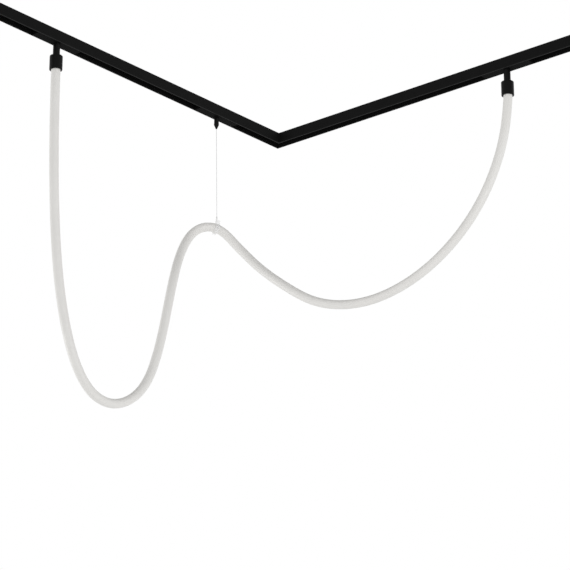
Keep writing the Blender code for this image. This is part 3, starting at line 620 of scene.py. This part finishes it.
def make_tube(finishes):
    points, frames, ends = tube_line()
    start = 0
    for number, (stretch, end) in enumerate(zip(STRETCHES, ends), 1):
        own = points[start : end + 1]
        axes = frames[start : end + 1]
        rings = [ring_of(p, u, s, TUBE_RADIUS, TUBE_SIDES) for p, (_, u, s) in zip(own, axes)]
        piece = mesh_object(f"light_tube_{number}", loft(rings), finishes["silicone"], "silicone")
        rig.replaces(piece, "light_tube")
        bend_with(piece, stretch, own)
        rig.cord(
            piece,
            exit=own[0],
            length=path_length(own),
            diameter=2 * TUBE_RADIUS,
            far_end="object",
            stiffness="stiff",
            lay="hanging",
            path=own,
        )
        make_strip(number, stretch, own, axes, start, finishes)
        start = end


def make_strip(number, stretch, points, axes, first, finishes):
    """The light strip inside a stretch of tube, with a row of small lamps on its lower face.

    The record has no slots for these two, so each names the nearest one.
    """
    half = STRIP_WIDTH / 2
    section = ((half, 0), (half, STRIP_THICK), (-half, STRIP_THICK), (-half, 0))
    rings = []
    for p, (_, u, s) in zip(points, axes):
        rings.append([p + s * x + u * (STRIP_OFFSET + y) for x, y in section])
    board = mesh_object(f"light_strip_{number}", loft(rings), finishes["strip_board"], "lead_sheath")
    bend_with(board, stretch, points)
    lamps = bmesh.new()
    every = round(LED_PITCH / RING_STEP)
    for i, (p, (a, u, s)) in enumerate(zip(points, axes)):
        if (first + i) % every == every // 2 and BARE_RINGS <= i < len(points) - BARE_RINGS:
            place = Matrix((a, s, u)).transposed().to_4x4()
            place.translation = p + u * (STRIP_OFFSET - LED_HEIGHT / 2)
            size = Matrix.Diagonal((LED_LENGTH, LED_WIDTH, LED_HEIGHT, 1.0))
            bmesh.ops.create_cube(lamps, size=1.0, matrix=place @ size)
    piece = mesh_object(f"lamps_{number}", lamps, finishes["led"], "brass", smooth=False)
    bend_with(piece, stretch, points)


# The suspension wire
def make_wire(finishes):
    """A twisted wire rope, straight down through the gripper and then on to the clip."""
    x, y = middle("gripper_plunger").xy
    nose = lowest("gripper_plunger").z
    top = Vector((x, y, highest("suspension_wire").z))
    hang = Vector((x, y, nose))
    run = middle("wire_crimp") - hang
    foot = hang + run * ((lowest("suspension_wire").z - nose) / run.z)
    points = []
    for start, end in ((top, hang), (hang, foot)):
        count = int((end - start).length / WIRE_STEP)
        points += [start.lerp(end, i / count) for i in range(count)]
    points.append(foot)
    rings = []
    for i, (p, (_, u, s)) in enumerate(zip(points, carried_frames(points, (1, 0, 0)))):
        twist = 2 * math.pi * i * WIRE_STEP / WIRE_LAY
        ring = []
        for k in range(STRAND_SIDES * WIRE_STRANDS):
            angle = 2 * math.pi * k / (STRAND_SIDES * WIRE_STRANDS)
            groove = 1 - abs(math.cos(WIRE_STRANDS / 2 * (angle - twist)))
            radius = WIRE_RADIUS * (1 - STRAND_RELIEF * groove)
            ring.append(p + (u * math.cos(angle) + s * math.sin(angle)) * radius)
        rings.append(ring)
    piece = mesh_object("wire_rope", loft(rings), finishes["wire_steel"], "wire_steel")
    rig.replaces(piece, "suspension_wire")
    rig.blend(piece, "hanger", "clip", hang, foot)
    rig.cord(
        piece,
        exit=points[0],
        length=path_length(points),
        diameter=2 * WIRE_RADIUS,
        far_end="object",
        stiffness="limp",
        lay="taut",
        path=points,
    )


# The gripper's spring
def make_spring(finishes):
    """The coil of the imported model, made to shorten as the plunger is pressed."""
    node = frame["nodes"]["gripper_spring"]
    mesh = node.data.copy()
    mesh.transform(node.matrix_world)
    mesh.materials.clear()
    mesh.materials.append(finishes["steel"])
    piece = bpy.data.objects.new("spring_coil", mesh)
    bpy.context.collection.objects.link(piece)
    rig.slot(piece, "steel")
    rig.replaces(piece, "gripper_spring")
    x, y = middle("gripper_spring").xy
    top = Vector((x, y, highest("gripper_spring").z))
    foot = Vector((x, y, lowest("gripper_spring").z))
    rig.blend(piece, "hanger", "plunger", top, foot)


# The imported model's nodes keep their shapes and take these finishes
def dress_frame(finishes):
    slots = {entry["node"]: entry["material_slot"] for entry in frame["record"]["subparts"]}
    for name, node in frame["nodes"].items():
        node.data.materials.clear()
        node.data.materials.append(finishes[slots[name]])


# Stage
def make_stage():
    low = Vector(CAD_BOX[0])
    bm = bmesh.new()
    bmesh.ops.create_grid(bm, x_segments=1, y_segments=1, size=FLOOR_SIZE / 2)
    mesh = bpy.data.meshes.new("floor")
    bm.to_mesh(mesh)
    bm.free()
    shader = Shader("floor", grey(FLOOR_TONES[0]), FLOOR_ROUGH, specular=FLOOR_SPECULAR)
    shader.set("Emission Color", (*grey(1.0), 1.0))
    shader.set("Emission Strength", FLOOR_GLOW)
    shader.drive("Base Color", shader.ramp(shader.noise(FLOOR_SPOTS), *FLOOR_TONES, FLOOR_SPAN))
    mesh.materials.append(shader.material)
    floor = bpy.data.objects.new("floor", mesh)
    bpy.context.collection.objects.link(floor)
    floor.location = (*FLOOR_CENTRE, low.z - FLOOR_DROP)
    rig.stage(floor)


def make_world():
    """White walls all round, under a dimmer ceiling."""
    world = bpy.data.worlds.new("studio")
    world.use_nodes = True
    nodes = world.node_tree.nodes
    links = world.node_tree.links
    direction = nodes.new("ShaderNodeTexCoord")
    parts = nodes.new("ShaderNodeSeparateXYZ")
    ramp = nodes.new("ShaderNodeValToRGB")
    walls, ceiling = ramp.color_ramp.elements
    walls.position = WALL_TOP
    ceiling.position = CEILING_FROM
    walls.color = (*grey(WALL_LIGHT), 1.0)
    ceiling.color = (*grey(CEILING_LIGHT), 1.0)
    links.new(direction.outputs["Generated"], parts.inputs["Vector"])
    links.new(parts.outputs["Z"], ramp.inputs["Fac"])
    links.new(ramp.outputs["Color"], nodes["Background"].inputs["Color"])
    bpy.context.scene.world = world
    bpy.context.scene.view_settings.view_transform = "Standard"


def make_lights():
    for name, place, size, power in LIGHTS:
        data = bpy.data.lights.new(name, "AREA")
        data.shape = "DISK"
        data.size = size
        data.energy = power
        light = bpy.data.objects.new(name, data)
        bpy.context.collection.objects.link(light)
        light.location = place
        aim = Vector(LIGHT_TARGET) - Vector(place)
        light.rotation_euler = aim.to_track_quat("-Z", "Y").to_euler()


make_camera()
finishes = make_materials()
make_tube(finishes)
make_wire(finishes)
make_spring(finishes)
dress_frame(finishes)
make_stage()
make_world()
make_lights()

with open("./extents.json", "w") as out:
    json.dump({"cad": [list(p) for p in CAD_BOX], "visual": [list(p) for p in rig.bounds()]}, out)
